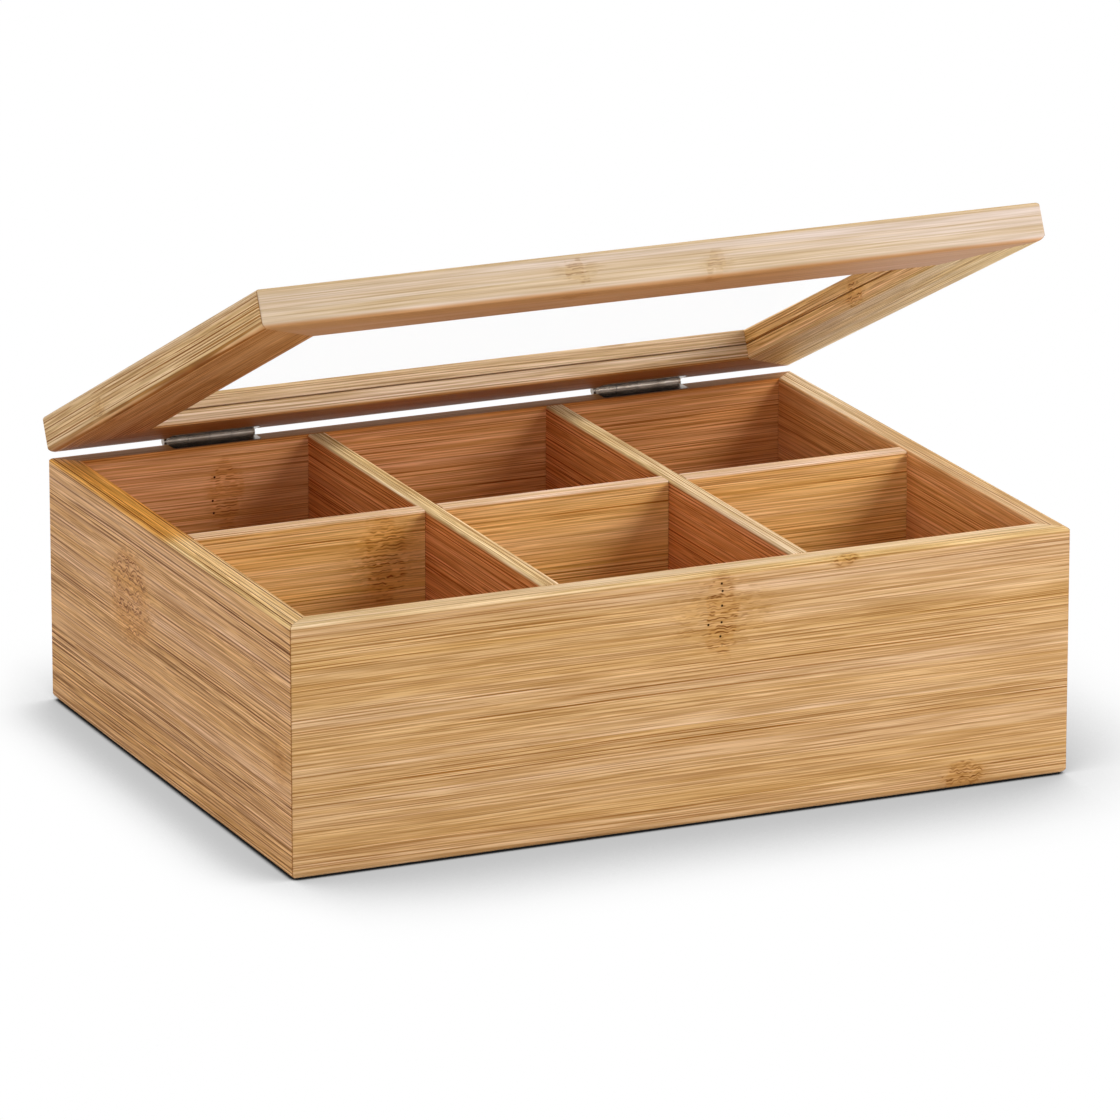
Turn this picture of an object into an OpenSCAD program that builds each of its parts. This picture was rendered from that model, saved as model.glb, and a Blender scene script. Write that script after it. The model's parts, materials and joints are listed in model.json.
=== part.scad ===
// Bamboo tea organizer box with six cells, a hinged lid with a window, and two butt hinges.
// Millimetres. +Z is up, the front faces -Y, and the origin is the middle of the underside.

/* [Box] */
// Width of the box from side to side
box_w = 217; // [170:1:300]
// Depth of the box from front to back
box_d = 168; // [130:1:240]
// Height of the walls
box_h = 66.5; // [50:0.5:100]
// Thickness of the walls
wall_t = 7; // [6:0.5:10]
// Radius along the outer edge of the rim
rim_r = 1.3; // [0.5:0.1:2.5]
// Radius along the inner edge of the rim
inner_r = 0.5; // [0.3:0.1:1]
// Radius along the outer edge of the foot
foot_r = 2; // [0.5:0.1:3]
// Radius on the upright corners of the box and the lid
corner_r = 0.5; // [0.3:0.1:2]

/* [Bottom] */
// Thickness of the bottom panel
bottom_t = 4; // [3:0.5:6]
// Width of the rebate under each wall that takes the edge of the panel
rebate_w = 3.5; // [2:0.5:4]

/* [Dividers] */
// Thickness of the dividers
divider_t = 5; // [3.5:0.5:7]
// Radius along the top edges of the dividers
divider_r = 0.5; // [0.3:0.1:1]
// Depth of the housings in the walls that hold the ends of the dividers
housing_d = 1.5; // [1:0.25:2.5]
// Height of plain wall between the rim and the top of each housing
housing_stop = 8; // [5:1:20]

/* [Lid] */
// How far the lid stands open, in degrees
lid_angle = 25.2; // [0:0.1:110]
// Thickness of the lid
lid_t = 10; // [9:0.5:14]
// Width of the four lid rails
rail_w = 22; // [16:0.5:32]
// Radius along the upper outer edges of the lid
lid_r = 1.2; // [0.5:0.1:2.5]
// Radius along the lower outer edges of the lid
lid_low_r = 2; // [0.5:0.1:2.5]
// Radius along the edges of the rails around the window
window_r = 0.7; // [0.3:0.1:1.5]
// Thickness of the window pane
pane_t = 2; // [1.5:0.1:3]
// How far the pane reaches into the groove in each rail
pane_grip = 4; // [2:0.5:7]
// Gap between the rim and the closed lid
lid_gap = 0.4; // [0.3:0.1:1]

/* [Hinges] */
// Length of each hinge
hinge_len = 25; // [20:1:36]
// Distance from the side of the box to the middle of the nearer hinge
hinge_in = 46; // [35:1:60]
// Outer diameter of the barrel
barrel_d = 2.6; // [2.6:0.1:4]
// Number of knuckles in each barrel
knuckles = 4; // [4, 6]
// Diameter of the hinge pin
pin_d = 1.4; // [1:0.1:1.6]
// Diameter of the riveted ends of the pin
pin_head_d = 2.2; // [2:0.1:2.5]
// Thickness of the riveted ends of the pin
pin_head_t = 0.4; // [0.3:0.1:0.8]
// Thickness of the leaves
leaf_t = 0.8; // [0.8:0.1:1.2]
// Width of the rim left bare in front of each leaf
leaf_margin = 1; // [0.5:0.1:1.5]
// Radius on the free corners of the leaves
leaf_r = 1; // [0.5:0.1:1.5]

/* [Screws] */
// Diameter of the screw shanks
screw_d = 2; // [1.6:0.1:2.4]
// Diameter of the countersunk heads
screw_head_d = 3.6; // [3.2:0.1:4]
// Thickness of the countersunk heads
screw_head_t = 0.75; // [0.5:0.05:0.75]
// Length of the screws from the top of the head to the tip
screw_len = 8; // [6:0.5:8]
// Length of the pointed end
screw_tip = 2; // [1:0.5:3]
// Distance from the end of a leaf to its nearer screw
screw_in = 5.5; // [4:0.5:7]
// Length of each arm of the cross recess, from tip to tip
cross_len = 2.2; // [1.6:0.1:2.6]
// Width of the arms of the cross recess
cross_w = 0.5; // [0.3:0.1:0.6]
// Depth of the cross recess
cross_depth = 0.6; // [0.3:0.1:0.7]

/* [Clearances] */
// Gap around each glued, slotted or screwed joint
joint_fit = 0.1; // [0.05:0.05:0.2]
// Gap around the hinge pin inside the knuckles
pin_fit = 0.05; // [0.02:0.01:0.1]
// Gap between neighbouring knuckles
knuckle_gap = 0.2; // [0.1:0.05:0.4]
// Gap between the two leaves of a hinge when the lid is closed
leaf_gap = 0.2; // [0.1:0.05:0.4]
// Gap between the barrel and the backs of the box and the lid
barrel_gap = 0.1; // [0.1:0.05:0.5]

/* [Hidden] */
$fn = 48;

// Turns about Z that carry the front member of a frame to each side
FRONT = 0;
RIGHT = 90;
BACK = 180;
LEFT = 270;

// How far a cutting shape runs past the surface it opens
past = 1;

inner_w = box_w - 2 * wall_t;
inner_d = box_d - 2 * wall_t;

// Two cross dividers and one long divider part the inside into equal cells
cell_w = (inner_w - 2 * divider_t) / 3;
cross_x = (cell_w + divider_t) / 2;
divider_h = box_h - bottom_t;
divider_slot = divider_t + 2 * joint_fit;
// Height at which the crossing dividers meet, halfway up
lap_z = bottom_t + divider_h / 2;

// Underside of the closed lid
lid_z = box_h + lid_gap;
pane_slot = pane_t + 2 * joint_fit;

// Hinge axis, behind the back faces and halfway up the gap under the closed lid
axis_out = barrel_d / 2 + barrel_gap;
axis_y = box_d / 2 + axis_out;
axis_z = box_h + lid_gap / 2;
hinge_x = box_w / 2 - hinge_in;

// A leaf below the axis, seen from the axis: its top, its underside and its front edge
leaf_w = wall_t - leaf_margin;
leaf_top = -leaf_gap / 2;
leaf_low = leaf_top - leaf_t;
leaf_front = -axis_out - leaf_w;
knuckle_pitch = hinge_len / knuckles;
screw_x = hinge_len / 2 - screw_in;
screw_y = -axis_out - leaf_w / 2;

BAMBOO = "#d2a468";
BAMBOO_PALE = "#e0bd8c";
BAMBOO_DEEP = "#c08a4c";
STEEL = "#a5a19a";
GLASS = [0.86, 0.93, 0.93, 0.3];

// A w by h rectangle with a radius for each corner: [near low, far low, far high, near high]
module eased_rectangle(w, h, radii) {
    corners = [[0, 0], [w, 0], [w, h], [0, h]];
    difference() {
        square([w, h]);
        for (i = [0 : 3])
            if (radii[i] > 0)
                translate(corners[i])
                    rotate(90 * i)
                        difference() {
                            square(radii[i]);
                            translate([radii[i], radii[i]]) circle(radii[i]);
                        }
    }
}

// One mitred member of a frame as large as the box, t wide and h high, turned to its side.
// The child draws its section: x runs inward from the outer face, and y runs up.
module frame_member(t, h, turn) {
    along = turn % 180 == 0 ? box_w : box_d;
    across = turn % 180 == 0 ? box_d : box_w;
    rotate([0, 0, turn])
        translate([-along / 2, -across / 2, 0])
            intersection() {
                rotate([90, 0, 90])
                    linear_extrude(along) children();
                linear_extrude(h)
                    polygon([[0, 0], [along, 0], [along - t, t], [t, t]]);
                linear_extrude(h)
                    eased_rectangle(along, across, [corner_r, corner_r, corner_r, corner_r]);
            }
}

module wall(turn) {
    frame_member(wall_t, box_h, turn)
        difference() {
            eased_rectangle(wall_t, box_h, [foot_r, 0, inner_r, rim_r]);
            translate([wall_t - rebate_w, -past]) square([rebate_w + past, bottom_t + past]);
        }
}

// Housing in the inner face of a wall at y = 0, for a divider that comes from +Y
module housing() {
    translate([-divider_slot / 2, -housing_d - joint_fit, bottom_t])
        cube([divider_slot, housing_d + joint_fit + past, divider_h - housing_stop]);
}

module front_wall() {
    color(BAMBOO)
        difference() {
            wall(FRONT);
            for (side = [-1, 1])
                translate([side * cross_x, -inner_d / 2, 0]) housing();
        }
}

module back_wall() {
    color(BAMBOO)
        difference() {
            wall(BACK);
            for (side = [-1, 1]) {
                translate([side * cross_x, inner_d / 2, 0]) rotate([0, 0, 180]) housing();
                on_hinge(side) leaf_seat();
            }
        }
}

module side_wall(side) {
    color(BAMBOO)
        difference() {
            wall(side < 0 ? LEFT : RIGHT);
            translate([side * inner_w / 2, 0, 0]) rotate([0, 0, side * 90]) housing();
        }
}

// Flat panel in the rebates, level with the foot of the walls
module bottom_panel() {
    reach = rebate_w - joint_fit;
    color(BAMBOO_DEEP)
        translate([-inner_w / 2 - reach, -inner_d / 2 - reach, 0])
            cube([inner_w + 2 * reach, inner_d + 2 * reach, bottom_t]);
}

// Divider along X that stands on the bottom panel, with a tongue at each end for its housing
module divider(inside) {
    tongues = inside + 2 * housing_d;
    translate([-inside / 2, -divider_t / 2, bottom_t])
        rotate([90, 0, 90])
            linear_extrude(inside)
                eased_rectangle(divider_t, divider_h, [0, 0, divider_r, divider_r]);
    translate([-tongues / 2, -divider_t / 2, bottom_t])
        cube([tongues, divider_t, divider_h - housing_stop - joint_fit]);
}

// Slot of a crossing divider, open at one end: from z upward, or up to z
module lap(z, h) {
    translate([-divider_slot / 2, -divider_t, z]) cube([divider_slot, 2 * divider_t, h]);
}

module long_divider() {
    color(BAMBOO_PALE)
        difference() {
            divider(inner_w);
            for (side = [-1, 1])
                translate([side * cross_x, 0, 0]) lap(lap_z - joint_fit, divider_h);
        }
}

module cross_divider(side) {
    color(BAMBOO_PALE)
        translate([side * cross_x, 0, 0])
            rotate([0, 0, 90])
                difference() {
                    divider(inner_d);
                    lap(0, lap_z);
                }
}

// Carries what is drawn on the closed lid to where the lid stands
module on_lid() {
    translate([0, axis_y, axis_z])
        rotate([-lid_angle, 0, 0])
            translate([0, -axis_y, -axis_z]) children();
}

// Carries a hinge drawn about its own axis, outer end at -X, to one side of the box
module on_hinge(side) {
    translate([side * hinge_x, axis_y, axis_z])
        mirror([side > 0 ? 1 : 0, 0, 0]) children();
}

// The same hinge seen from the lid, where all that lies below the axis lies above it
module on_lid_hinge(side) {
    on_hinge(side) mirror([0, 0, 1]) children();
}

module lid_rail(turn) {
    translate([0, 0, lid_z])
        frame_member(rail_w, lid_t, turn)
            difference() {
                eased_rectangle(rail_w, lid_t, [lid_low_r, window_r, window_r, lid_r]);
                translate([rail_w - pane_grip - joint_fit, (lid_t - pane_slot) / 2])
                    square([pane_grip + joint_fit + past, pane_slot]);
            }
}

module lid_back_rail() {
    color(BAMBOO)
        on_lid()
            difference() {
                lid_rail(BACK);
                for (side = [-1, 1]) on_lid_hinge(side) leaf_seat();
            }
}

// Flat pane in the grooves of the rails, halfway up the lid
module window_pane() {
    frame_reach = rail_w - pane_grip;
    color(GLASS)
        on_lid()
            translate([frame_reach - box_w / 2, frame_reach - box_d / 2, lid_z + (lid_t - pane_t) / 2])
                cube([box_w - 2 * frame_reach, box_d - 2 * frame_reach, pane_t]);
}

// Recess and screw holes cut into the wood under a leaf
module leaf_seat() {
    seat_r = leaf_r + joint_fit;
    translate([-hinge_len / 2 - joint_fit, leaf_front - joint_fit, leaf_low])
        linear_extrude(leaf_t + lid_gap)
            eased_rectangle(hinge_len + 2 * joint_fit, leaf_w + joint_fit + past, [seat_r, seat_r, 0, 0]);
    at_screws() screw_hole();
}

module at_screws() {
    for (end = [-1, 1])
        translate([end * screw_x, screw_y, leaf_top]) children();
}

// Span of knuckle i along the barrel, with half a gap wherever it has a neighbour
function knuckle_start(i) = i * knuckle_pitch - hinge_len / 2 + (i > 0 ? knuckle_gap / 2 : 0);
function knuckle_end(i) = (i + 1) * knuckle_pitch - hinge_len / 2 - (i < knuckles - 1 ? knuckle_gap / 2 : 0);

// Leaf below the axis that carries every second knuckle, counted from `first` at the outer end
module hinge_leaf(first) {
    own = [first : 2 : knuckles - 1];
    color(STEEL)
        difference() {
            union() {
                translate([0, 0, leaf_low])
                    linear_extrude(leaf_t) {
                        translate([-hinge_len / 2, leaf_front])
                            eased_rectangle(hinge_len, leaf_w, [leaf_r, leaf_r, 0, 0]);
                        for (i = own)
                            translate([knuckle_start(i), screw_y])
                                square([knuckle_end(i) - knuckle_start(i), -screw_y]);
                    }
                for (i = own)
                    translate([knuckle_start(i), 0, 0])
                        rotate([0, 90, 0])
                            cylinder(h = knuckle_end(i) - knuckle_start(i), d = barrel_d);
            }
            translate([-hinge_len / 2 - past, 0, 0])
                rotate([0, 90, 0])
                    cylinder(h = hinge_len + 2 * past, d = pin_d + 2 * pin_fit);
            at_screws() screw_hole();
        }
}

// Pin along the barrel, riveted over just outside the end knuckles
module hinge_pin() {
    head_x = hinge_len / 2 + knuckle_gap / 2;
    color(STEEL)
        rotate([0, 90, 0]) {
            cylinder(h = 2 * head_x, d = pin_d, center = true);
            for (end = [-1, 1])
                translate([0, 0, end * (head_x + pin_head_t / 2)])
                    cylinder(h = pin_head_t, d = pin_head_d, center = true);
        }
}

// Countersunk screw that hangs from the origin, with a cross recess in its head
module screw() {
    difference() {
        union() {
            translate([0, 0, -screw_head_t])
                cylinder(h = screw_head_t, d1 = screw_d, d2 = screw_head_d);
            translate([0, 0, screw_tip - screw_len])
                cylinder(h = screw_len - screw_tip - screw_head_t, d = screw_d);
            translate([0, 0, -screw_len])
                cylinder(h = screw_tip, d1 = 0, d2 = screw_d);
        }
        for (turn = [0, 90])
            rotate([0, 0, turn])
                translate([-cross_len / 2, -cross_w / 2, -cross_depth])
                    cube([cross_len, cross_w, cross_depth + past]);
    }
}

// Room for a screw and its head
module screw_hole() {
    hole_d = screw_d + 2 * joint_fit;
    mouth_d = screw_head_d + 2 * joint_fit;
    translate([0, 0, -screw_len - joint_fit])
        cylinder(h = screw_len, d = hole_d);
    translate([0, 0, -screw_head_t])
        cylinder(h = screw_head_t, d1 = hole_d, d2 = mouth_d);
    cylinder(h = past, d = mouth_d);
}

module box_leaf(side) {
    on_hinge(side) hinge_leaf(1);
}

module lid_leaf(side) {
    on_lid() on_lid_hinge(side) hinge_leaf(0);
}

module box_screws(side) {
    color(STEEL) on_hinge(side) at_screws() screw();
}

module lid_screws(side) {
    color(STEEL) on_lid() on_lid_hinge(side) at_screws() screw();
}

front_wall();
back_wall();
side_wall(-1);  // left_wall
side_wall(1);  // right_wall
bottom_panel();
long_divider();
cross_divider(-1);  // left_cross_divider
cross_divider(1);  // right_cross_divider
box_leaf(-1);  // left_hinge_box_leaf
on_hinge(-1) hinge_pin();  // left_hinge_pin
box_screws(-1);  // left_hinge_box_screws
box_leaf(1);  // right_hinge_box_leaf
on_hinge(1) hinge_pin();  // right_hinge_pin
box_screws(1);  // right_hinge_box_screws
color(BAMBOO) on_lid() lid_rail(FRONT);  // lid_front_rail
lid_back_rail();
color(BAMBOO) on_lid() lid_rail(LEFT);  // lid_left_rail
color(BAMBOO) on_lid() lid_rail(RIGHT);  // lid_right_rail
window_pane();
lid_leaf(-1);  // left_hinge_lid_leaf
lid_screws(-1);  // left_hinge_lid_screws
lid_leaf(1);  // right_hinge_lid_leaf
lid_screws(1);  // right_hinge_lid_screws
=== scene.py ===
"""Looks of the bamboo organizer box: wood, glass and steel, studio light and the camera."""

import json
from collections import namedtuple
from math import cos, pi, radians, sin

import bpy
from mathutils import Matrix, Vector

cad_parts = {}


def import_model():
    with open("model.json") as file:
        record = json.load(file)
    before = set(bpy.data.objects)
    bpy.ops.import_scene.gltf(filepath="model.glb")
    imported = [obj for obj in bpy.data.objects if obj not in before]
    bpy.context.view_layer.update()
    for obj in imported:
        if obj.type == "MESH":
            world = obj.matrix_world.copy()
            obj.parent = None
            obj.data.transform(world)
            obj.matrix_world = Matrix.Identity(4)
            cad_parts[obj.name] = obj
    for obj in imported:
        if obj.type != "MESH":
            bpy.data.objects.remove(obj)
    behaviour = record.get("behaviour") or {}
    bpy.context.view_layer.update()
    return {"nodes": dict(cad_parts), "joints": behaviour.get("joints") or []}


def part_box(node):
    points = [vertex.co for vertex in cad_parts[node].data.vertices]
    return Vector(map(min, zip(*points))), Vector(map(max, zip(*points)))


MM = 0.001

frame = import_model()
NODES = frame["nodes"]

# Sizes read off the frame
HALF_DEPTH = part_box("back_wall")[1].y
HALF_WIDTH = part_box("right_wall")[1].x
BOX_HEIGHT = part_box("front_wall")[1].z
HINGE = Vector(frame["joints"][0]["pos_m"])

# The lid stands open by this angle, and these are sizes of the walls and of the closed lid
LID_ANGLE = radians(25.2)
LID_GAP = 0.4 * MM
LID_THICKNESS = 10 * MM
LID_UNDERSIDE = BOX_HEIGHT + LID_GAP
RAIL_WIDTH = 22 * MM
WALL = 7 * MM
DIVIDER = 5 * MM
CROSS_X = 34.8 * MM

# Camera: its direction in degrees, distance in metres and lens in mm, and how far the point it
# aims at lies to the right of the middle of the box and above it
CAMERA_AZIMUTH = -23.95
CAMERA_ELEVATION = 16.475
CAMERA_DISTANCE = 2.369
CAMERA_LENS = 290.9
CAMERA_SENSOR = 36.0
CAMERA_CLIP_END = 50
AIM_RIGHT = 1.9 * MM
AIM_UP = 14.1 * MM

# Lamps: name, azimuth and elevation in degrees, and power in watts
LAMPS = (
    ("key", 45, 30, 17),
    ("side", 100, 45, 7),
    ("front", -15, 15, 3.2),
    ("back", 170, 60, 3.9),
)
LAMP_DISTANCE = 1.6
LAMP_SIZE = 0.8

# Light of the surroundings from the left, from the back and from above
WORLD_LEFT = 1.0
WORLD_BACK = 0.85
WORLD_ABOVE = 0.05

# Floor: its size, how far it lies below the box, and how much diffuse light it returns
FLOOR_SIZE = 6.0
FLOOR_DROP = 0.2 * MM
FLOOR_PLAIN = 0.85

# Soft shadow: its reach in front of the box and to its left, where across the floor the first
# turns into the second, its darkest tone, and how open the floor is where it is darkest and
# where it ends. The contact shadow is the thin dark line along the foot.
SHADOW_FRONT = 60 * MM
SHADOW_LEFT = 31 * MM
SHADOW_TURN = (-HALF_WIDTH + 5 * MM, -HALF_WIDTH - 15 * MM)
SHADOW_TONE = 0.54
SHADOW_OPEN = (0.50, 0.98)
CONTACT_REACH = 3 * MM
CONTACT_TONE = 0.02
CONTACT_OPEN = (0.30, 0.66)
SHADOW_SAMPLES = 16

WHITE = (1.0, 1.0, 1.0)

# What a part of the pattern multiplies the wood's colour by
BAND_DEEP = (0.975, 0.95, 0.85)
BAND_PALE = (1.025, 1.05, 1.17)
HUE_YELLOW = (1.0, 0.99, 0.92)
HUE_PINK = (1.0, 1.01, 1.08)
STRIP_DEEP = (0.985, 0.975, 0.95)
STRIP_PALE = (1.015, 1.025, 1.05)
GRAIN_DEEP = (0.985, 0.96, 0.89)
GRAIN_PALE = (1.015, 1.04, 1.11)
FIBRE_DARK = (0.82, 0.77, 0.66)
FIBRE_PALE = (1.16, 1.22, 1.36)
LINE_DARK = (0.46, 0.30, 0.12)
LINE_DEEP = (0.24, 0.13, 0.05)
LINE_PALE = (1.34, 1.45, 1.80)
NODE_TONE = (0.94, 0.89, 0.78)
CORE_TONE = (0.96, 0.90, 0.78)
NODE_BLOTCH = (1.10, 1.14, 1.28)
NODE_DASH = (0.34, 0.20, 0.09)
PORE = (0.06, 0.04, 0.03)
GLUE = (0.55, 0.40, 0.28)

# Layers of noise: scale along and across the fibres per metre, shift and detail
Layer = namedtuple("Layer", "along across shift detail")
NOISE_ROUGHNESS = 0.55
WANDER = Layer(6.0, 20.0, 0.0, 1.0)
BANDS = Layer(2.4, 105.0, 3.1, 2.0)
HUES = Layer(2.0, 62.0, 9.7, 1.0)
GRAIN = Layer(5.0, 430.0, 1.3, 2.0)
FIBRES = Layer(28.0, 1900.0, 5.9, 1.5)
WAVES = Layer(380.0, 260.0, 0.0, 1.0)
BLOTCHES = Layer(130.0, 420.0, 7.3, 1.0)
DULLING = Layer(200.0, 400.0, 0.0, 2.0)
BRUSHING = Layer(150.0, 9000.0, 0.0, 1.0)
SMEARS = Layer(30.0, 30.0, 0.0, 2.0)

# Between which values of its noise a layer turns from its first tone to its second. The fibres
# turn within their spread to both sides of the middle.
NOISE_MIDDLE = 0.5
BAND_TURN = (0.30, 0.70)
HUE_TURN = (0.32, 0.68)
GRAIN_TURN = (0.30, 0.70)
FIBRE_SPREAD = 0.20
BLOTCH_TURN = (0.50, 0.60)

# Strips of a board: their width, the width that makes a lid rail one strip, where they start and
# the number of the first. Each takes its own piece of a pattern that reaches this far along and
# across the fibres, and in which the fibres wander a little.
STRIP = 19 * MM
STRIP_WHOLE = 60 * MM
STRIP_START = 8 * MM
STRIP_FIRST = 40
STRIP_SHIFT = (1.7, 0.9)
WANDER_REACH = 1.5 * MM

# Fine lines: pitch, half width, seed and how often they break per metre
Lines = namedtuple("Lines", "pitch half_width seed breaks")
COARSE = Lines(2.3 * MM, 0.21 * MM, 11, 14.0)
CLOSE = Lines(0.95 * MM, 0.16 * MM, 23, 24.0)
SHORT = Lines(0.60 * MM, 0.13 * MM, 51, 60.0)
PALE = Lines(1.1 * MM, 0.15 * MM, 37, 26.0)
CLOSE_STRENGTH = 0.85
SHORT_STRENGTH = 0.6
PALE_STRENGTH = 0.8
BORDER_STRENGTH = 0.6

# One line: its soft edges and those of its pale border in half widths, its place within the
# pitch, where in the noise it fades, its strength, and how far apart two lines lie in that noise
LINE_EDGE = (1.3, 0.7)
BORDER_EDGE = (3.0, 1.6)
LINE_PLACE = (0.15, 0.85)
LINE_FADE = (0.36, 0.54)
LINE_WEIGHT = (0.3, 1.0)
LINE_PHASES = 50.0
LINE_ROW = 0.73

# Where the bands turn pale, and the share of the lines that stay in a pale band and at a node
CROWD_TURN = (0.62, 0.36)
CROWD_PALE = 0.65
CROWD_NODE = 0.4

# Nodes of the cane: soft edges of the whole and of the core in squared half sizes, how ragged
# the core is, and the dashes: pitch in half widths, seed, breaks, and strength off the core
NODE_EDGE = (1.0, 0.1)
CORE_EDGE = (1.1, 0.4)
CORE_RAG = 6 * MM
DASH_PITCH = 4.0
DASH_SEED = 900
DASH_BREAKS = 280.0
DASH_OUTSIDE = 0.5

# Pores: pitch and place across the fibres, how far they stray along them, their soft edges, from
# which random number on they are there, the seed, and the soft end of a column
PORE_PITCH = 3.6 * MM
PORE_PLACE = (0.25, 0.75)
PORE_STRAY = 0.4 * MM
PORE_EDGE = (0.42 * MM, 0.22 * MM)
PORE_PRESENT = (0.25, 0.35)
PORE_SEED = 1000
PORE_END = 0.5 * MM

# Glue line of a mitre: its soft edges, and how it gains strength towards the outer face, from
# the strength that it has deeper in a wall and in a rail of the lid
GLUE_EDGE = (0.24 * MM, 0.08 * MM)
GLUE_FADE = (1.2 * MM, 0.6 * MM)
GLUE_GAIN = 0.65
GLUE_IN_WALL = 0.3
GLUE_IN_LID = 0.15

# Surface of the wood: roughness from the first to the second over the fibres, and more on the
# lines, its gloss, and the heights of the pattern in its relief
WOOD_ROUGHNESS = (0.36, 0.46)
LINE_ROUGHNESS = 0.12
WOOD_GLOSS = 0.05
FIBRE_HEIGHT = 0.5
LINE_HEIGHT = -0.8
DASH_DEPTH = 0.6
WOOD_BUMP = 0.4
WOOD_BUMP_DEPTH = 0.10 * MM

# Steel of the hinges and screws: its tones, a dark brown that is partly a dark finish and partly
# painted shade and reflection of the wood, its roughness and brushed relief
STEEL_LIGHT = (0.34, 0.29, 0.25)
STEEL_DULL = (0.27, 0.22, 0.18)
STEEL_TURN = (0.35, 0.7)
STEEL_ROUGHNESS = (0.17, 0.23)
BRUSH_ROUGHNESS = 0.05
STEEL_BUMP = 0.10
STEEL_BUMP_DEPTH = 0.03 * MM

# Clear pane: how much of its gloss is kept, and the faint smears that blur it
PANE_IOR = 1.5
PANE_GLOSS = 0.03
PANE_GLOSS_ROUGHNESS = 0.03
SMEAR_TURN = (0.55, 0.8)
SMEAR_ROUGHNESS = 0.02

# Distances from an edge of a board at which one face's painted light and shade begins to turn into
# the next face's and at which it has turned
RIM_TURN = (1.4 * MM, 0.5 * MM)
DIVIDER_TURN = (0.9 * MM, 0.3 * MM)
INSIDE_TURN = (0.9 * MM, 0.3 * MM)
UNDER_TURN = (1.2 * MM, 0.3 * MM)
TOP_TURN = (1.6 * MM, 0.3 * MM)
INNER_TURN = (0.8 * MM, 0.2 * MM)


class Tree:
    """Short calls for building a node tree."""

    def __init__(self, tree):
        self.tree = tree

    def node(self, kind, **settings):
        """A new node with those settings."""
        made = self.tree.nodes.new(kind)
        for name, value in settings.items():
            setattr(made, name, value)
        return made

    def feed(self, socket, value):
        """Links a socket to an output, or sets it to a constant."""
        if isinstance(value, bpy.types.NodeSocket):
            self.tree.links.new(value, socket)
        else:
            socket.default_value = value

    def math(self, operation, *values):
        """Result of a math node."""
        made = self.node("ShaderNodeMath", operation=operation)
        for socket, value in zip(made.inputs, values):
            self.feed(socket, value)
        return made.outputs[0]

    def times(self, first, *others):
        """Product of all values."""
        for other in others:
            first = self.math("MULTIPLY", first, other)
        return first

    def square_sum(self, a, b):
        """a squared plus b squared."""
        return self.math("ADD", self.times(a, a), self.times(b, b))

    def span(self, value, low, high):
        """low where value is 0, high where it is 1, and in proportion between."""
        return self.math("MULTIPLY_ADD", value, high - low, low)

    def step(self, value, start, end):
        """0 before start, 1 after end, smooth between. start may lie above end."""
        made = self.node("ShaderNodeMapRange", interpolation_type="SMOOTHSTEP")
        self.feed(made.inputs["Value"], value)
        low, high = (0.0, 1.0) if start < end else (1.0, 0.0)
        limits = (min(start, end), max(start, end), low, high)
        for name, limit in zip(("From Min", "From Max", "To Min", "To Max"), limits):
            made.inputs[name].default_value = limit
        return made.outputs["Result"]

    def dot(self, a, b):
        """Scalar product of two vectors."""
        made = self.node("ShaderNodeVectorMath", operation="DOT_PRODUCT")
        self.feed(made.inputs[0], a)
        self.feed(made.inputs[1], b)
        return made.outputs["Value"]

    def mix(self, factor, a, b):
        """Colour a where factor is 0 and colour b where it is 1."""
        made = self.node("ShaderNodeMix", data_type="RGBA")
        self.feed(made.inputs["Factor"], factor)
        low, high = [s for s in made.inputs if s.type == "RGBA"]
        self.feed(low, a if isinstance(a, bpy.types.NodeSocket) else (*a[:3], 1.0))
        self.feed(high, b if isinstance(b, bpy.types.NodeSocket) else (*b[:3], 1.0))
        return next(s for s in made.outputs if s.type == "RGBA")

    def shade(self, colour, factor, low, high):
        """Multiplies a colour by low where factor is 0 and by high where it is 1."""
        made = self.node("ShaderNodeVectorMath", operation="MULTIPLY")
        self.feed(made.inputs[0], colour)
        self.feed(made.inputs[1], self.mix(factor, low, high))
        return made.outputs[0]

    def point(self, x, y, z=0.0):
        """Vector of three values."""
        made = self.node("ShaderNodeCombineXYZ")
        for socket, value in zip(made.inputs, (x, y, z)):
            self.feed(socket, value)
        return made.outputs[0]

    def separate(self, vector):
        """The three values of a vector."""
        made = self.node("ShaderNodeSeparateXYZ")
        self.feed(made.inputs[0], vector)
        return made.outputs

    def place(self, kind="Object"):
        """Coordinates of the point that is shaded."""
        return self.node("ShaderNodeTexCoord").outputs[kind]

    def noise(self, x, y, detail=1.0):
        """Noise in 0 to 1 over a plane."""
        made = self.node("ShaderNodeTexNoise", noise_dimensions="2D")
        self.feed(made.inputs["Vector"], self.point(x, y))
        made.inputs["Scale"].default_value = 1.0
        made.inputs["Detail"].default_value = detail
        made.inputs["Roughness"].default_value = NOISE_ROUGHNESS
        return made.outputs["Fac"]

    def layer(self, u, s, layer, seed=0.0):
        """Noise of a layer at u along the fibres and s across them."""
        shift = seed + layer.shift
        along = self.math("MULTIPLY_ADD", u, layer.along, shift)
        across = self.math("MULTIPLY_ADD", s, layer.across, shift)
        return self.noise(along, across, layer.detail)

    def random(self, x, y):
        """Three random numbers for a pair of whole numbers."""
        made = self.node("ShaderNodeTexWhiteNoise", noise_dimensions="2D")
        self.feed(made.inputs["Vector"], self.point(x, y))
        return self.separate(made.outputs["Color"])

    def bump(self, strength, depth, height, shader):
        """Gives a shader the relief of that height."""
        made = self.node("ShaderNodeBump")
        made.inputs["Strength"].default_value = strength
        made.inputs["Distance"].default_value = depth
        self.feed(made.inputs["Height"], height)
        self.feed(shader.inputs["Normal"], made.outputs["Normal"])

    def either(self, factor, first, second):
        """The first shader where factor is 0 and the second where it is 1."""
        made = self.node("ShaderNodeMixShader")
        for socket, value in zip(made.inputs, (factor, first.outputs[0], second.outputs[0])):
            self.feed(socket, value)
        return made

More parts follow.
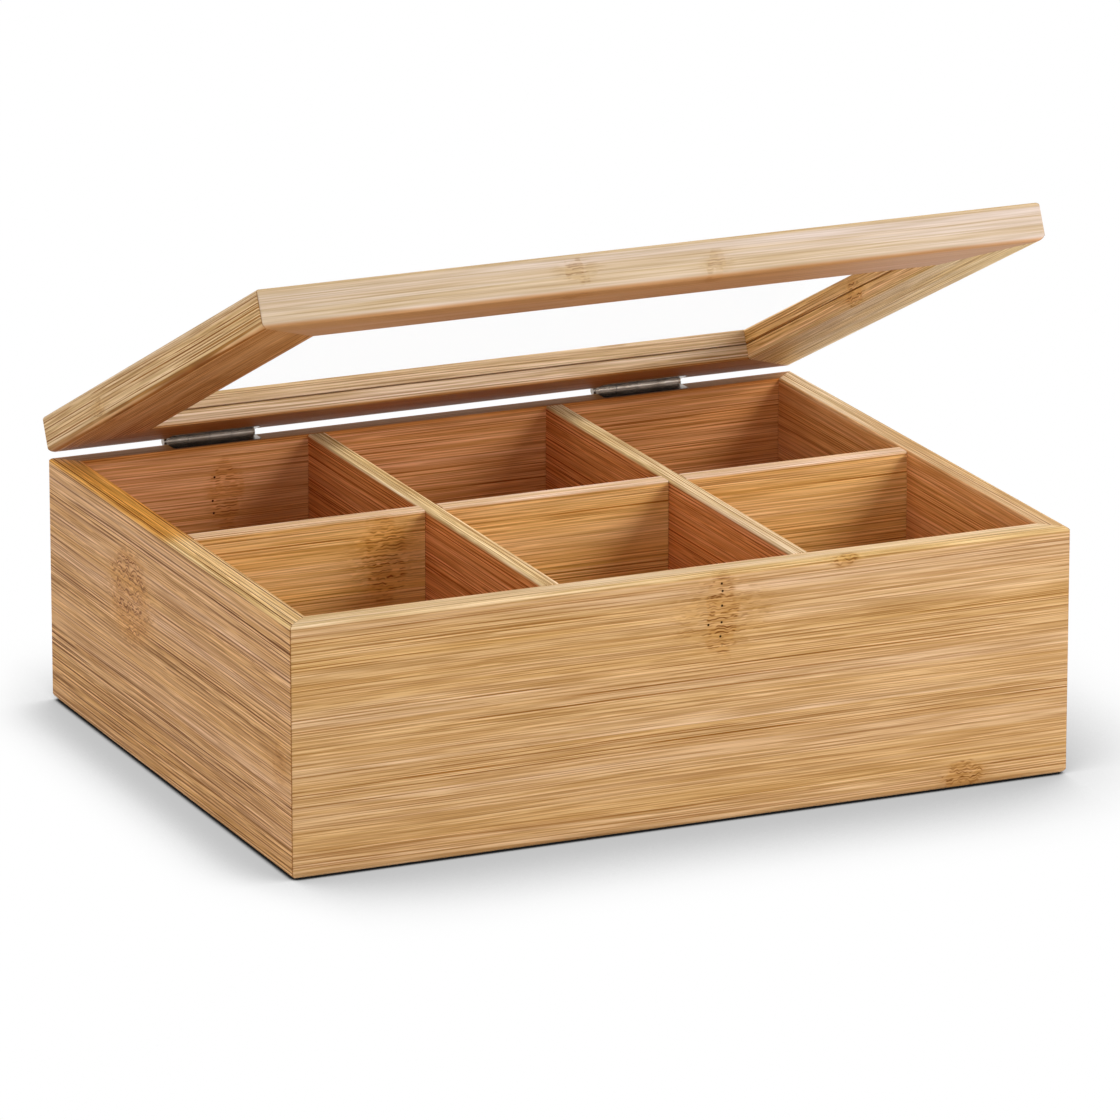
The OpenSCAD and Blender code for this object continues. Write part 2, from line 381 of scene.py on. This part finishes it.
    def seen_directly(self):
        """1 for rays of the camera, a gloss or a clear pane, 0 for rays of diffuse light."""
        path = self.node("ShaderNodeLightPath").outputs
        seen = self.math("MAXIMUM", path["Is Camera Ray"], path["Is Glossy Ray"])
        return self.math("MAXIMUM", seen, path["Is Transmission Ray"])


def new_material(name):
    """A new material with its tree and its shader."""
    material = bpy.data.materials.new(name)
    material.use_nodes = True
    return material, Tree(material.node_tree), material.node_tree.nodes["Principled BSDF"]


def dress(node, material):
    """Gives a CAD node one material."""
    slots = NODES[node].data.materials
    slots.clear()
    slots.append(material)


def fine_lines(t, u, s, kind, seed=0.0, bold=1.0):
    """Crisp lines along the fibres, one to each pitch, each with its own place and strength.

    Gives the lines and their pale borders.
    """
    seed = seed + kind.seed
    half_width = kind.half_width * bold
    row = t.math("MULTIPLY_ADD", s, 1 / kind.pitch, seed)
    index = t.math("FLOOR", row)
    place, strength, phase = t.random(index, seed)
    away = t.math("SUBTRACT", t.math("FRACT", row), t.span(place, *LINE_PLACE))
    away = t.math("ABSOLUTE", away)
    line, border = (
        t.step(away, *(half_width / kind.pitch * edge for edge in edges))
        for edges in (LINE_EDGE, BORDER_EDGE))
    where = t.math("MULTIPLY_ADD", u, kind.breaks, t.times(phase, LINE_PHASES))
    fade = t.step(t.noise(where, t.times(index, LINE_ROW)), *LINE_FADE)
    weight = t.times(fade, t.span(strength, *LINE_WEIGHT))
    return t.times(line, weight), t.times(t.math("SUBTRACT", border, line), weight)


def mark(u, s, half_u, half_s, core=4.5, strength=1.0, wave=1.2, width=0.18, pores=()):
    """A node of the cane, with sizes in mm: its place and half size along and across the fibres,
    the half length of its core, how far its dashes wave and their half width, and its columns of
    pores as (place along the fibres, reach across them).
    """
    return dict(
        u=u * MM, s=s * MM, half_u=half_u * MM, half_s=half_s * MM, core=core * MM,
        strength=strength, wave=wave * MM, width=width * MM,
        pores=[(column * MM, reach * MM) for column, reach in pores])


def pore_column(t, du, ds, column, reach):
    """Mask of a row of pores across the fibres, at du and ds from the middle of their node."""
    row = t.times(ds, 1 / PORE_PITCH)
    place, side, present = t.random(t.math("FLOOR", row), column * PORE_SEED)
    off_s = t.math("SUBTRACT", t.math("FRACT", row), t.span(place, *PORE_PLACE))
    off_s = t.times(off_s, PORE_PITCH)
    off_u = t.math("SUBTRACT", du, t.span(side, column - PORE_STRAY, column + PORE_STRAY))
    distance = t.math("SQRT", t.square_sum(off_s, off_u))
    return t.times(
        t.step(distance, *PORE_EDGE), t.step(present, *PORE_PRESENT),
        t.step(t.math("ABSOLUTE", ds), reach, reach - PORE_END))


def cane_node(t, u, s, node):
    """Masks of one node of the cane: all of it, its core, dashes, pale blotches and pores."""
    du = t.math("SUBTRACT", u, node["u"])
    ds = t.math("SUBTRACT", s, node["s"])
    along = t.times(du, 1 / node["half_u"])
    across = t.times(ds, 1 / node["half_s"])
    whole = t.times(t.step(t.square_sum(along, across), *NODE_EDGE), node["strength"])
    wave = t.math("SUBTRACT", t.layer(u, s, WAVES), NOISE_MIDDLE)
    ragged = t.times(t.math("MULTIPLY_ADD", wave, CORE_RAG, du), 1 / node["core"])
    core = t.times(t.step(t.square_sum(ragged, across), *CORE_EDGE), node["strength"])
    bent = t.math("MULTIPLY_ADD", t.times(wave, whole), node["wave"], s)
    wanted = t.math("MAXIMUM", core, t.times(whole, DASH_OUTSIDE))
    width = node["width"]
    kind = Lines(DASH_PITCH * width, width, node["u"] * DASH_SEED, DASH_BREAKS)
    dashes = t.times(fine_lines(t, u, bent, kind)[0], wanted)
    blotches = t.times(t.step(t.layer(u, bent, BLOTCHES), *BLOTCH_TURN), whole)
    pores = 0.0
    for column, reach in node["pores"]:
        pores = t.math("MAXIMUM", pore_column(t, du, ds, column, reach), pores)
    return whole, core, dashes, blotches, pores


def bamboo(name, board, base, faces=(), strip=STRIP, seed=0.0, lines=1.0, line_tone=LINE_DARK,
           bold=1.0, fibres=1.0, marks=(), mitre=None):
    """Bamboo of one board. board is the matrix that takes a point to the board's own axes:
    u along the fibres, v across the board and w through it.

    faces is painted light, shade and sheen on faces of the board, each as
    (multiplier, (axis, start, end), ...): the colour where all those steps are 1.
    lines is how strong the fine lines are, bold how wide, and fibres how strong the fibres are.
    marks are nodes of the cane, and mitre is (half length, depth axis) of its glued ends.
    """
    material, t, shader = new_material(name)
    place = t.place()
    axes = [t.math("ADD", t.dot(place, row.xyz), row.w) for row in board[:3]]
    u, v, w = axes

    # Distance across the fibres, which runs on over the edges of the board
    plain_s = t.math("ADD", v, w)

    # Each strip of the board has its own tone and its own piece of the pattern
    first = seed - STRIP_START / strip + STRIP_FIRST
    strip_index = t.math("FLOOR", t.math("MULTIPLY_ADD", v, 1 / strip, first))
    tone, shift_u, shift_s = t.random(strip_index, seed)
    u_own = t.math("MULTIPLY_ADD", shift_u, STRIP_SHIFT[0], u)
    wander = t.math("SUBTRACT", t.layer(u_own, plain_s, WANDER, seed), NOISE_MIDDLE)
    s = t.math("MULTIPLY_ADD", wander, WANDER_REACH, plain_s)
    s = t.math("MULTIPLY_ADD", shift_s, STRIP_SHIFT[1], s)

    masks = (0.0,) * 5
    for node in marks:
        masks = [
            t.math("MAXIMUM", new, old)
            for new, old in zip(cane_node(t, u, plain_s, node), masks)]
    node_all, core, dashes, blotches, pores = masks

    colour = t.point(*base)
    # Painted light and shade: faces made paler or darker for the light, shade and sheen that fall
    # on them
    for multiplier, *steps in faces:
        here = t.times(*(t.step(axes["uvw".index(axis)], *edge) for axis, *edge in steps))
        colour = t.shade(colour, here, WHITE, multiplier)

    bands, hues, grain, fibre = (
        t.layer(u_own, s, layer, seed) for layer in (BANDS, HUES, GRAIN, FIBRES))
    colour = t.shade(colour, t.step(bands, *BAND_TURN), BAND_DEEP, BAND_PALE)
    colour = t.shade(colour, t.step(hues, *HUE_TURN), HUE_YELLOW, HUE_PINK)
    colour = t.shade(colour, tone, STRIP_DEEP, STRIP_PALE)
    colour = t.shade(colour, t.step(grain, *GRAIN_TURN), GRAIN_DEEP, GRAIN_PALE)
    spread = FIBRE_SPREAD / fibres
    fibre_step = t.step(fibre, NOISE_MIDDLE - spread, NOISE_MIDDLE + spread)
    colour = t.shade(colour, fibre_step, FIBRE_DARK, FIBRE_PALE)

    # Lines are sparser in the pale bands, and break up round a node
    crowd = t.span(t.step(bands, *CROWD_TURN), CROWD_PALE, 1.0)
    kept = t.times(crowd, t.span(node_all, 1.0, CROWD_NODE), lines)
    (coarse, coarse_border), (close, close_border), (short, _), (pale, _) = (
        fine_lines(t, u_own, s, kind, seed, bold) for kind in (COARSE, CLOSE, SHORT, PALE))
    dark = t.math("MAXIMUM", coarse, t.times(close, CLOSE_STRENGTH))
    dark = t.times(t.math("MAXIMUM", dark, t.times(short, SHORT_STRENGTH)), kept)
    border = t.times(t.math("MAXIMUM", coarse_border, close_border), BORDER_STRENGTH)
    pale = t.times(t.math("MAXIMUM", border, t.times(pale, PALE_STRENGTH)), kept)
    colour = t.shade(colour, pale, WHITE, LINE_PALE)
    colour = t.shade(colour, dark, WHITE, line_tone)

    if marks:
        colour = t.shade(colour, node_all, WHITE, NODE_TONE)
        colour = t.shade(colour, core, WHITE, CORE_TONE)
        colour = t.shade(colour, blotches, WHITE, NODE_BLOTCH)
        colour = t.shade(colour, dashes, WHITE, NODE_DASH)
        colour = t.shade(colour, pores, WHITE, PORE)
    if mitre:
        half_length, depth_axis = mitre
        depth, least = (w, GLUE_IN_WALL) if depth_axis == "w" else (v, GLUE_IN_LID)
        past = t.math("SUBTRACT", half_length, t.math("ABSOLUTE", u))
        gap = t.math("ABSOLUTE", t.math("SUBTRACT", past, depth))
        shown = t.math("MULTIPLY_ADD", t.step(depth, *GLUE_FADE), GLUE_GAIN, least)
        glue = t.times(t.step(gap, *GLUE_EDGE), shown)
        colour = t.shade(colour, glue, WHITE, GLUE)

    t.feed(shader.inputs["Base Color"], colour)
    rough = t.math("MULTIPLY_ADD", dark, LINE_ROUGHNESS, t.span(fibre, *WOOD_ROUGHNESS))
    t.feed(shader.inputs["Roughness"], rough)
    shader.inputs["Specular IOR Level"].default_value = WOOD_GLOSS
    height = t.math("MULTIPLY_ADD", fibre, FIBRE_HEIGHT, t.times(dark, LINE_HEIGHT))
    if marks:
        sunk = t.math("MULTIPLY_ADD", dashes, DASH_DEPTH, pores)
        height = t.math("SUBTRACT", height, sunk)
    t.bump(WOOD_BUMP, WOOD_BUMP_DEPTH, height, shader)
    return material


# Board axes of the box: u along, v up and w from the outer face inward
UPRIGHT = Matrix(((1, 0, 0, 0), (0, 0, 1, 0), (0, 1, 0, 0), (0, 0, 0, 1)))

# The four sides: angle of the board and depth of its outer face
FRONT = (0, HALF_DEPTH)
RIGHT = (pi / 2, HALF_WIDTH)
BACK = (pi, HALF_DEPTH)
LEFT = (-pi / 2, HALF_WIDTH)


def turned(angle):
    """The matrix that turns by -angle about Z, so that a board at that angle lies along X."""
    return Matrix.Rotation(-angle, 4, "Z")


def wall_board(angle, outer):
    """Axes of a wall that faces the front before it is turned, outer is its outer face's depth."""
    return UPRIGHT @ Matrix.Translation((0, outer, 0)) @ turned(angle)


def lid_board(angle, outer):
    """Axes of a lid rail: u along it, v inward across it and w up from its underside."""
    closed = (
        Matrix.Translation(HINGE)
        @ Matrix.Rotation(LID_ANGLE, 4, "X")
        @ Matrix.Translation(-HINGE)
    )
    return Matrix.Translation((0, outer, -LID_UNDERSIDE)) @ turned(angle) @ closed


def turning(axis, end, turn):
    """Where along an axis of the board a colour begins to turn and has turned before that end."""
    first, last = turn
    return (axis, end - first, end - last)


def rim_light_and_shade(multiplier, *more):
    """Painted light and sheen on the top edge of a wall, and painted shade where it is darker."""
    return (multiplier, turning("v", BOX_HEIGHT, RIM_TURN), *more)


def divider_top_light(multiplier):
    """Top edge of a divider, paler than its deep orange faces: painted light on top, painted shade
    below.
    """
    return (multiplier, turning("v", BOX_HEIGHT, DIVIDER_TURN))


def inside_shade(multiplier):
    """Inner face of a wall, made deeper and warmer: painted shade and bounced light."""
    return (multiplier, turning("w", WALL, INSIDE_TURN))


def underside_light_and_shade(multiplier):
    """Underside of a lid rail: darker with painted shade, and on the right rail paler with painted
    light.
    """
    return (multiplier, ("w", *UNDER_TURN))


def top_less_sheen(multiplier):
    """Top of a lid rail, darker to take back part of the rail's painted sheen."""
    return (multiplier, turning("w", LID_THICKNESS, TOP_TURN))


def pane_edge_light_and_shade(multiplier):
    """Painted light and shade on the edge of a lid rail at the pane, and less of the front rail's
    painted sheen.
    """
    return (multiplier, turning("v", RAIL_WIDTH, INNER_TURN))


def dress_board(node, axes, base, **looks):
    """Dresses a CAD node in bamboo of its own."""
    dress(node, bamboo(node + "_bamboo", axes, base, **looks))


def box_wood():
    """Walls, dividers and bottom of the box."""
    dress_board(
        "front_wall", wall_board(*FRONT), base=(0.597, 0.357, 0.150),
        faces=(rim_light_and_shade((1.31, 1.54, 1.81)), inside_shade((1.0, 0.85, 0.75))),
        mitre=(HALF_WIDTH, "w"),
        marks=(
            mark(9.6, 55, 19, 13, core=5, pores=((0, 12), (-3.7, 5))),
            mark(79, 3.5, 10, 4.5, core=6, wave=3, width=0.22),
            mark(44.4, 66, 7, 3, core=4, wave=3, width=0.22)),
        seed=1.0)
    dress_board(
        "right_wall", wall_board(*RIGHT), base=(0.604, 0.340, 0.137),
        faces=(
            rim_light_and_shade((1.06, 1.19, 1.38)),
            # One part of the right rim is made paler still: painted light and sheen.
            rim_light_and_shade((1.30, 1.60, 2.21), ("u", 0, 70 * MM)),
            inside_shade((1.17, 0.98, 0.81))),
        mitre=(HALF_DEPTH, "w"),
        marks=(mark(-31, 36, 16, 12, pores=((0, 9),)),),
        seed=2.0)
    dress_board(
        "back_wall", wall_board(*BACK), base=(0.595, 0.353, 0.148),
        # The back rim is made darker: painted shade under the open lid.
        faces=(rim_light_and_shade((0.85, 0.70, 0.45)), inside_shade((1.13, 0.90, 0.78))),
        mitre=(HALF_WIDTH, "w"),
        marks=(mark(61, 60, 9, 11, core=5, strength=0.8, pores=((3.5, 8),)),),
        seed=3.0)
    dress_board(
        "left_wall", wall_board(*LEFT), base=(0.678, 0.371, 0.146),
        faces=(
            # The left rim is split along its length: the pale part is a painted reflection of the
            # white surroundings, the orange part a painted reflection of the lid's underside.
            rim_light_and_shade((1.33, 1.62, 1.71), ("u", -6 * MM, 6 * MM)),
            rim_light_and_shade((1.24, 1.08, 0.50), ("u", 6 * MM, -6 * MM)),
            inside_shade((1.0, 0.85, 0.75))),
        mitre=(HALF_DEPTH, "w"),
        marks=(
            mark(-25.6, 44, 24, 15, core=15, wave=3.2, width=0.26),
            mark(76, 29, 12, 7, core=5, strength=0.5)),
        seed=4.0, lines=1.2, line_tone=LINE_DEEP, bold=1.1)
    dress_board(
        "long_divider", wall_board(0, DIVIDER / 2), base=(0.796, 0.456, 0.140),
        faces=(divider_top_light((0.98, 1.13, 1.94)),),
        marks=(mark(-49, 55, 15, 14, core=7, width=0.2),),
        seed=5.0)
    # The cross dividers' base is deep orange: painted shade and warm bounced light on their shaded
    # faces.
    for side, name, seed in ((-1, "left_cross_divider", 6.0), (1, "right_cross_divider", 7.0)):
        dress_board(
            name, wall_board(pi / 2, side * CROSS_X + DIVIDER / 2), base=(0.655, 0.252, 0.076),
            faces=(divider_top_light((1.18, 2.20, 3.56)),),
            seed=seed, lines=1.4)
    dress_board("bottom_panel", Matrix.Identity(4), base=(0.62, 0.38, 0.17), seed=8.0)


def lid_wood():
    """Rails of the lid."""
    dress_board(
        # The front rail's base is pale and pinkish: painted sheen and light on its tilted face.
        "lid_front_rail", lid_board(*FRONT), base=(0.635, 0.489, 0.362),
        faces=(underside_light_and_shade((0.88, 0.60, 0.36)), top_less_sheen((0.93, 0.84, 0.60)), pane_edge_light_and_shade((0.93, 0.84, 0.60))),
        mitre=(HALF_WIDTH, "v"),
        marks=(
            mark(-22, 5.5, 9, 4, core=3, strength=0.6),
            mark(16, 3.5, 6, 4, core=3, strength=0.5)),
        strip=STRIP_WHOLE, seed=9.0, lines=0.25, fibres=0.5)
    dress_board(
        "lid_right_rail", lid_board(*RIGHT), base=(0.726, 0.449, 0.190),
        faces=(underside_light_and_shade((1.07, 1.27, 1.34)), pane_edge_light_and_shade((1.0, 0.95, 0.85))),
        mitre=(HALF_DEPTH, "v"),
        marks=(mark(-10.8, 26, 14, 6, core=6),),
        strip=STRIP_WHOLE, seed=10.0, lines=1.6)
    dress_board(
        "lid_back_rail", lid_board(*BACK), base=(0.648, 0.448, 0.255),
        faces=(underside_light_and_shade((0.73, 0.51, 0.28)), pane_edge_light_and_shade((1.06, 1.08, 1.15))),
        mitre=(HALF_WIDTH, "v"),
        strip=STRIP_WHOLE, seed=11.0)
    dress_board(
        "lid_left_rail", lid_board(*LEFT), base=(0.671, 0.431, 0.192),
        faces=(underside_light_and_shade((0.86, 0.65, 0.51)),),
        mitre=(HALF_DEPTH, "v"),
        marks=(mark(-40, 3.5, 10, 4, core=4, strength=0.6),),
        strip=STRIP_WHOLE, seed=12.0, lines=1.4)


def steel():
    """Nickel-plated steel of the hinges and screws, slightly dulled; its dark brown tone is partly
    painted shade and reflection of the wood.
    """
    material, t, shader = new_material("hinge_steel")
    x, y, z = t.separate(t.place())
    across = t.math("ADD", y, z)
    dull = t.layer(x, across, DULLING)
    brushed = t.layer(x, across, BRUSHING)
    colour = t.mix(t.step(dull, *STEEL_TURN), STEEL_LIGHT, STEEL_DULL)
    t.feed(shader.inputs["Base Color"], colour)
    rough = t.math("MULTIPLY_ADD", brushed, BRUSH_ROUGHNESS, t.span(dull, *STEEL_ROUGHNESS))
    t.feed(shader.inputs["Roughness"], rough)
    shader.inputs["Metallic"].default_value = 1.0
    t.bump(STEEL_BUMP, STEEL_BUMP_DEPTH, brushed, shader)
    for name in NODES:
        if "hinge" in name:
            dress(name, material)


def bare_material(name):
    """A new material with its tree and a bare output."""
    material, t, shader = new_material(name)
    t.tree.nodes.remove(shader)
    return material, t, t.tree.nodes["Material Output"]


def pane():
    """Clear pane, which bends what is seen through it and lets plain light pass straight."""
    material, t, output = bare_material("clear_pane")
    x, y = t.separate(t.place())[:2]
    smear = t.step(t.layer(x, y, SMEARS), *SMEAR_TURN)
    bent = t.node("ShaderNodeBsdfRefraction")
    bent.inputs["IOR"].default_value = PANE_IOR
    t.feed(bent.inputs["Roughness"], t.times(smear, SMEAR_ROUGHNESS))
    gloss = t.node("ShaderNodeBsdfAnisotropic")
    gloss.inputs["Roughness"].default_value = PANE_GLOSS_ROUGHNESS
    fresnel = t.node("ShaderNodeFresnel")
    fresnel.inputs["IOR"].default_value = PANE_IOR
    faced = t.either(t.times(fresnel.outputs[0], PANE_GLOSS), bent, gloss)
    path = t.node("ShaderNodeLightPath").outputs
    straight = t.math("MAXIMUM", path["Is Shadow Ray"], path["Is Diffuse Ray"])
    mix = t.either(straight, faced, t.node("ShaderNodeBsdfTransparent"))
    t.feed(output.inputs["Surface"], mix.outputs[0])
    dress("window_pane", material)


def floor():
    """White floor that shows the soft shadow of the box."""
    bpy.ops.mesh.primitive_plane_add(size=FLOOR_SIZE, location=(0, 0, -FLOOR_DROP))
    plane = bpy.context.object
    plane.name = "studio_floor"
    material, t, output = bare_material("studio_floor")
    plain = t.node("ShaderNodeBsdfDiffuse")
    plain.inputs["Color"].default_value = (FLOOR_PLAIN, FLOOR_PLAIN, FLOOR_PLAIN, 1.0)
    side = t.step(t.separate(t.place())["X"], *SHADOW_TURN)
    near = t.node("ShaderNodeAmbientOcclusion", samples=SHADOW_SAMPLES)
    t.feed(near.inputs["Distance"], t.span(side, SHADOW_FRONT, SHADOW_LEFT))
    soft = t.span(t.step(near.outputs["AO"], *SHADOW_OPEN), SHADOW_TONE, 1.0)
    close = t.node("ShaderNodeAmbientOcclusion", samples=SHADOW_SAMPLES)
    close.inputs["Distance"].default_value = CONTACT_REACH
    contact = t.span(t.step(close.outputs["AO"], *CONTACT_OPEN), CONTACT_TONE, 1.0)
    shown = t.node("ShaderNodeEmission")
    t.feed(shown.inputs["Strength"], t.times(soft, contact))
    both = t.either(t.seen_directly(), plain, shown)
    t.feed(output.inputs["Surface"], both.outputs[0])
    plane.data.materials.append(material)


def world():
    """White surroundings where they are seen, which light the box from the left and the back."""
    scene = bpy.context.scene
    scene.world = bpy.data.worlds.new("studio")
    scene.world.use_nodes = True
    t = Tree(scene.world.node_tree)
    background = scene.world.node_tree.nodes["Background"]
    background.inputs["Color"].default_value = (*WHITE, 1.0)
    x, y, z = t.separate(t.place("Generated"))
    light = t.times(t.math("MAXIMUM", t.times(x, -1.0), 0.0), WORLD_LEFT)
    light = t.math("MULTIPLY_ADD", t.math("MAXIMUM", y, 0.0), WORLD_BACK, light)
    light = t.math("MULTIPLY_ADD", t.math("MAXIMUM", z, 0.0), WORLD_ABOVE, light)
    strength = t.mix(t.seen_directly(), t.point(light, light, light), WHITE)
    t.feed(background.inputs["Strength"], strength)


def direction(azimuth, elevation):
    """Unit vector from the object towards a viewer at that azimuth and elevation."""
    a, e = radians(azimuth), radians(elevation)
    return Vector((sin(a) * cos(e), -cos(a) * cos(e), sin(e)))


def lamp(name, azimuth, elevation, power):
    """Round area lamp that faces the middle of the scene."""
    data = bpy.data.lights.new(name, "AREA")
    data.shape = "DISK"
    data.size = LAMP_SIZE
    data.energy = power
    made = bpy.data.objects.new(name, data)
    bpy.context.scene.collection.objects.link(made)
    away = direction(azimuth, elevation)
    made.location = away * LAMP_DISTANCE
    made.rotation_euler = away.to_track_quat("Z", "Y").to_euler()


def camera():
    """The camera, upright and aimed a little above the middle of the box."""
    data = bpy.data.cameras.new("camera")
    data.lens = CAMERA_LENS
    data.sensor_width = CAMERA_SENSOR
    data.clip_end = CAMERA_CLIP_END
    made = bpy.data.objects.new("camera", data)
    bpy.context.scene.collection.objects.link(made)
    back = direction(CAMERA_AZIMUTH, CAMERA_ELEVATION)
    right = Vector((cos(radians(CAMERA_AZIMUTH)), sin(radians(CAMERA_AZIMUTH)), 0))
    up = back.cross(right)
    aim = Vector((0, 0, BOX_HEIGHT / 2)) + right * AIM_RIGHT + up * AIM_UP
    place = Matrix((right, up, back)).transposed().to_4x4()
    place.translation = aim + back * CAMERA_DISTANCE
    made.matrix_world = place
    bpy.context.scene.camera = made


camera()
floor()
world()
for name, azimuth, elevation, power in LAMPS:
    lamp(name, azimuth, elevation, power)
box_wood()
lid_wood()
steel()
pane()

bpy.context.scene.view_settings.view_transform = "Standard"
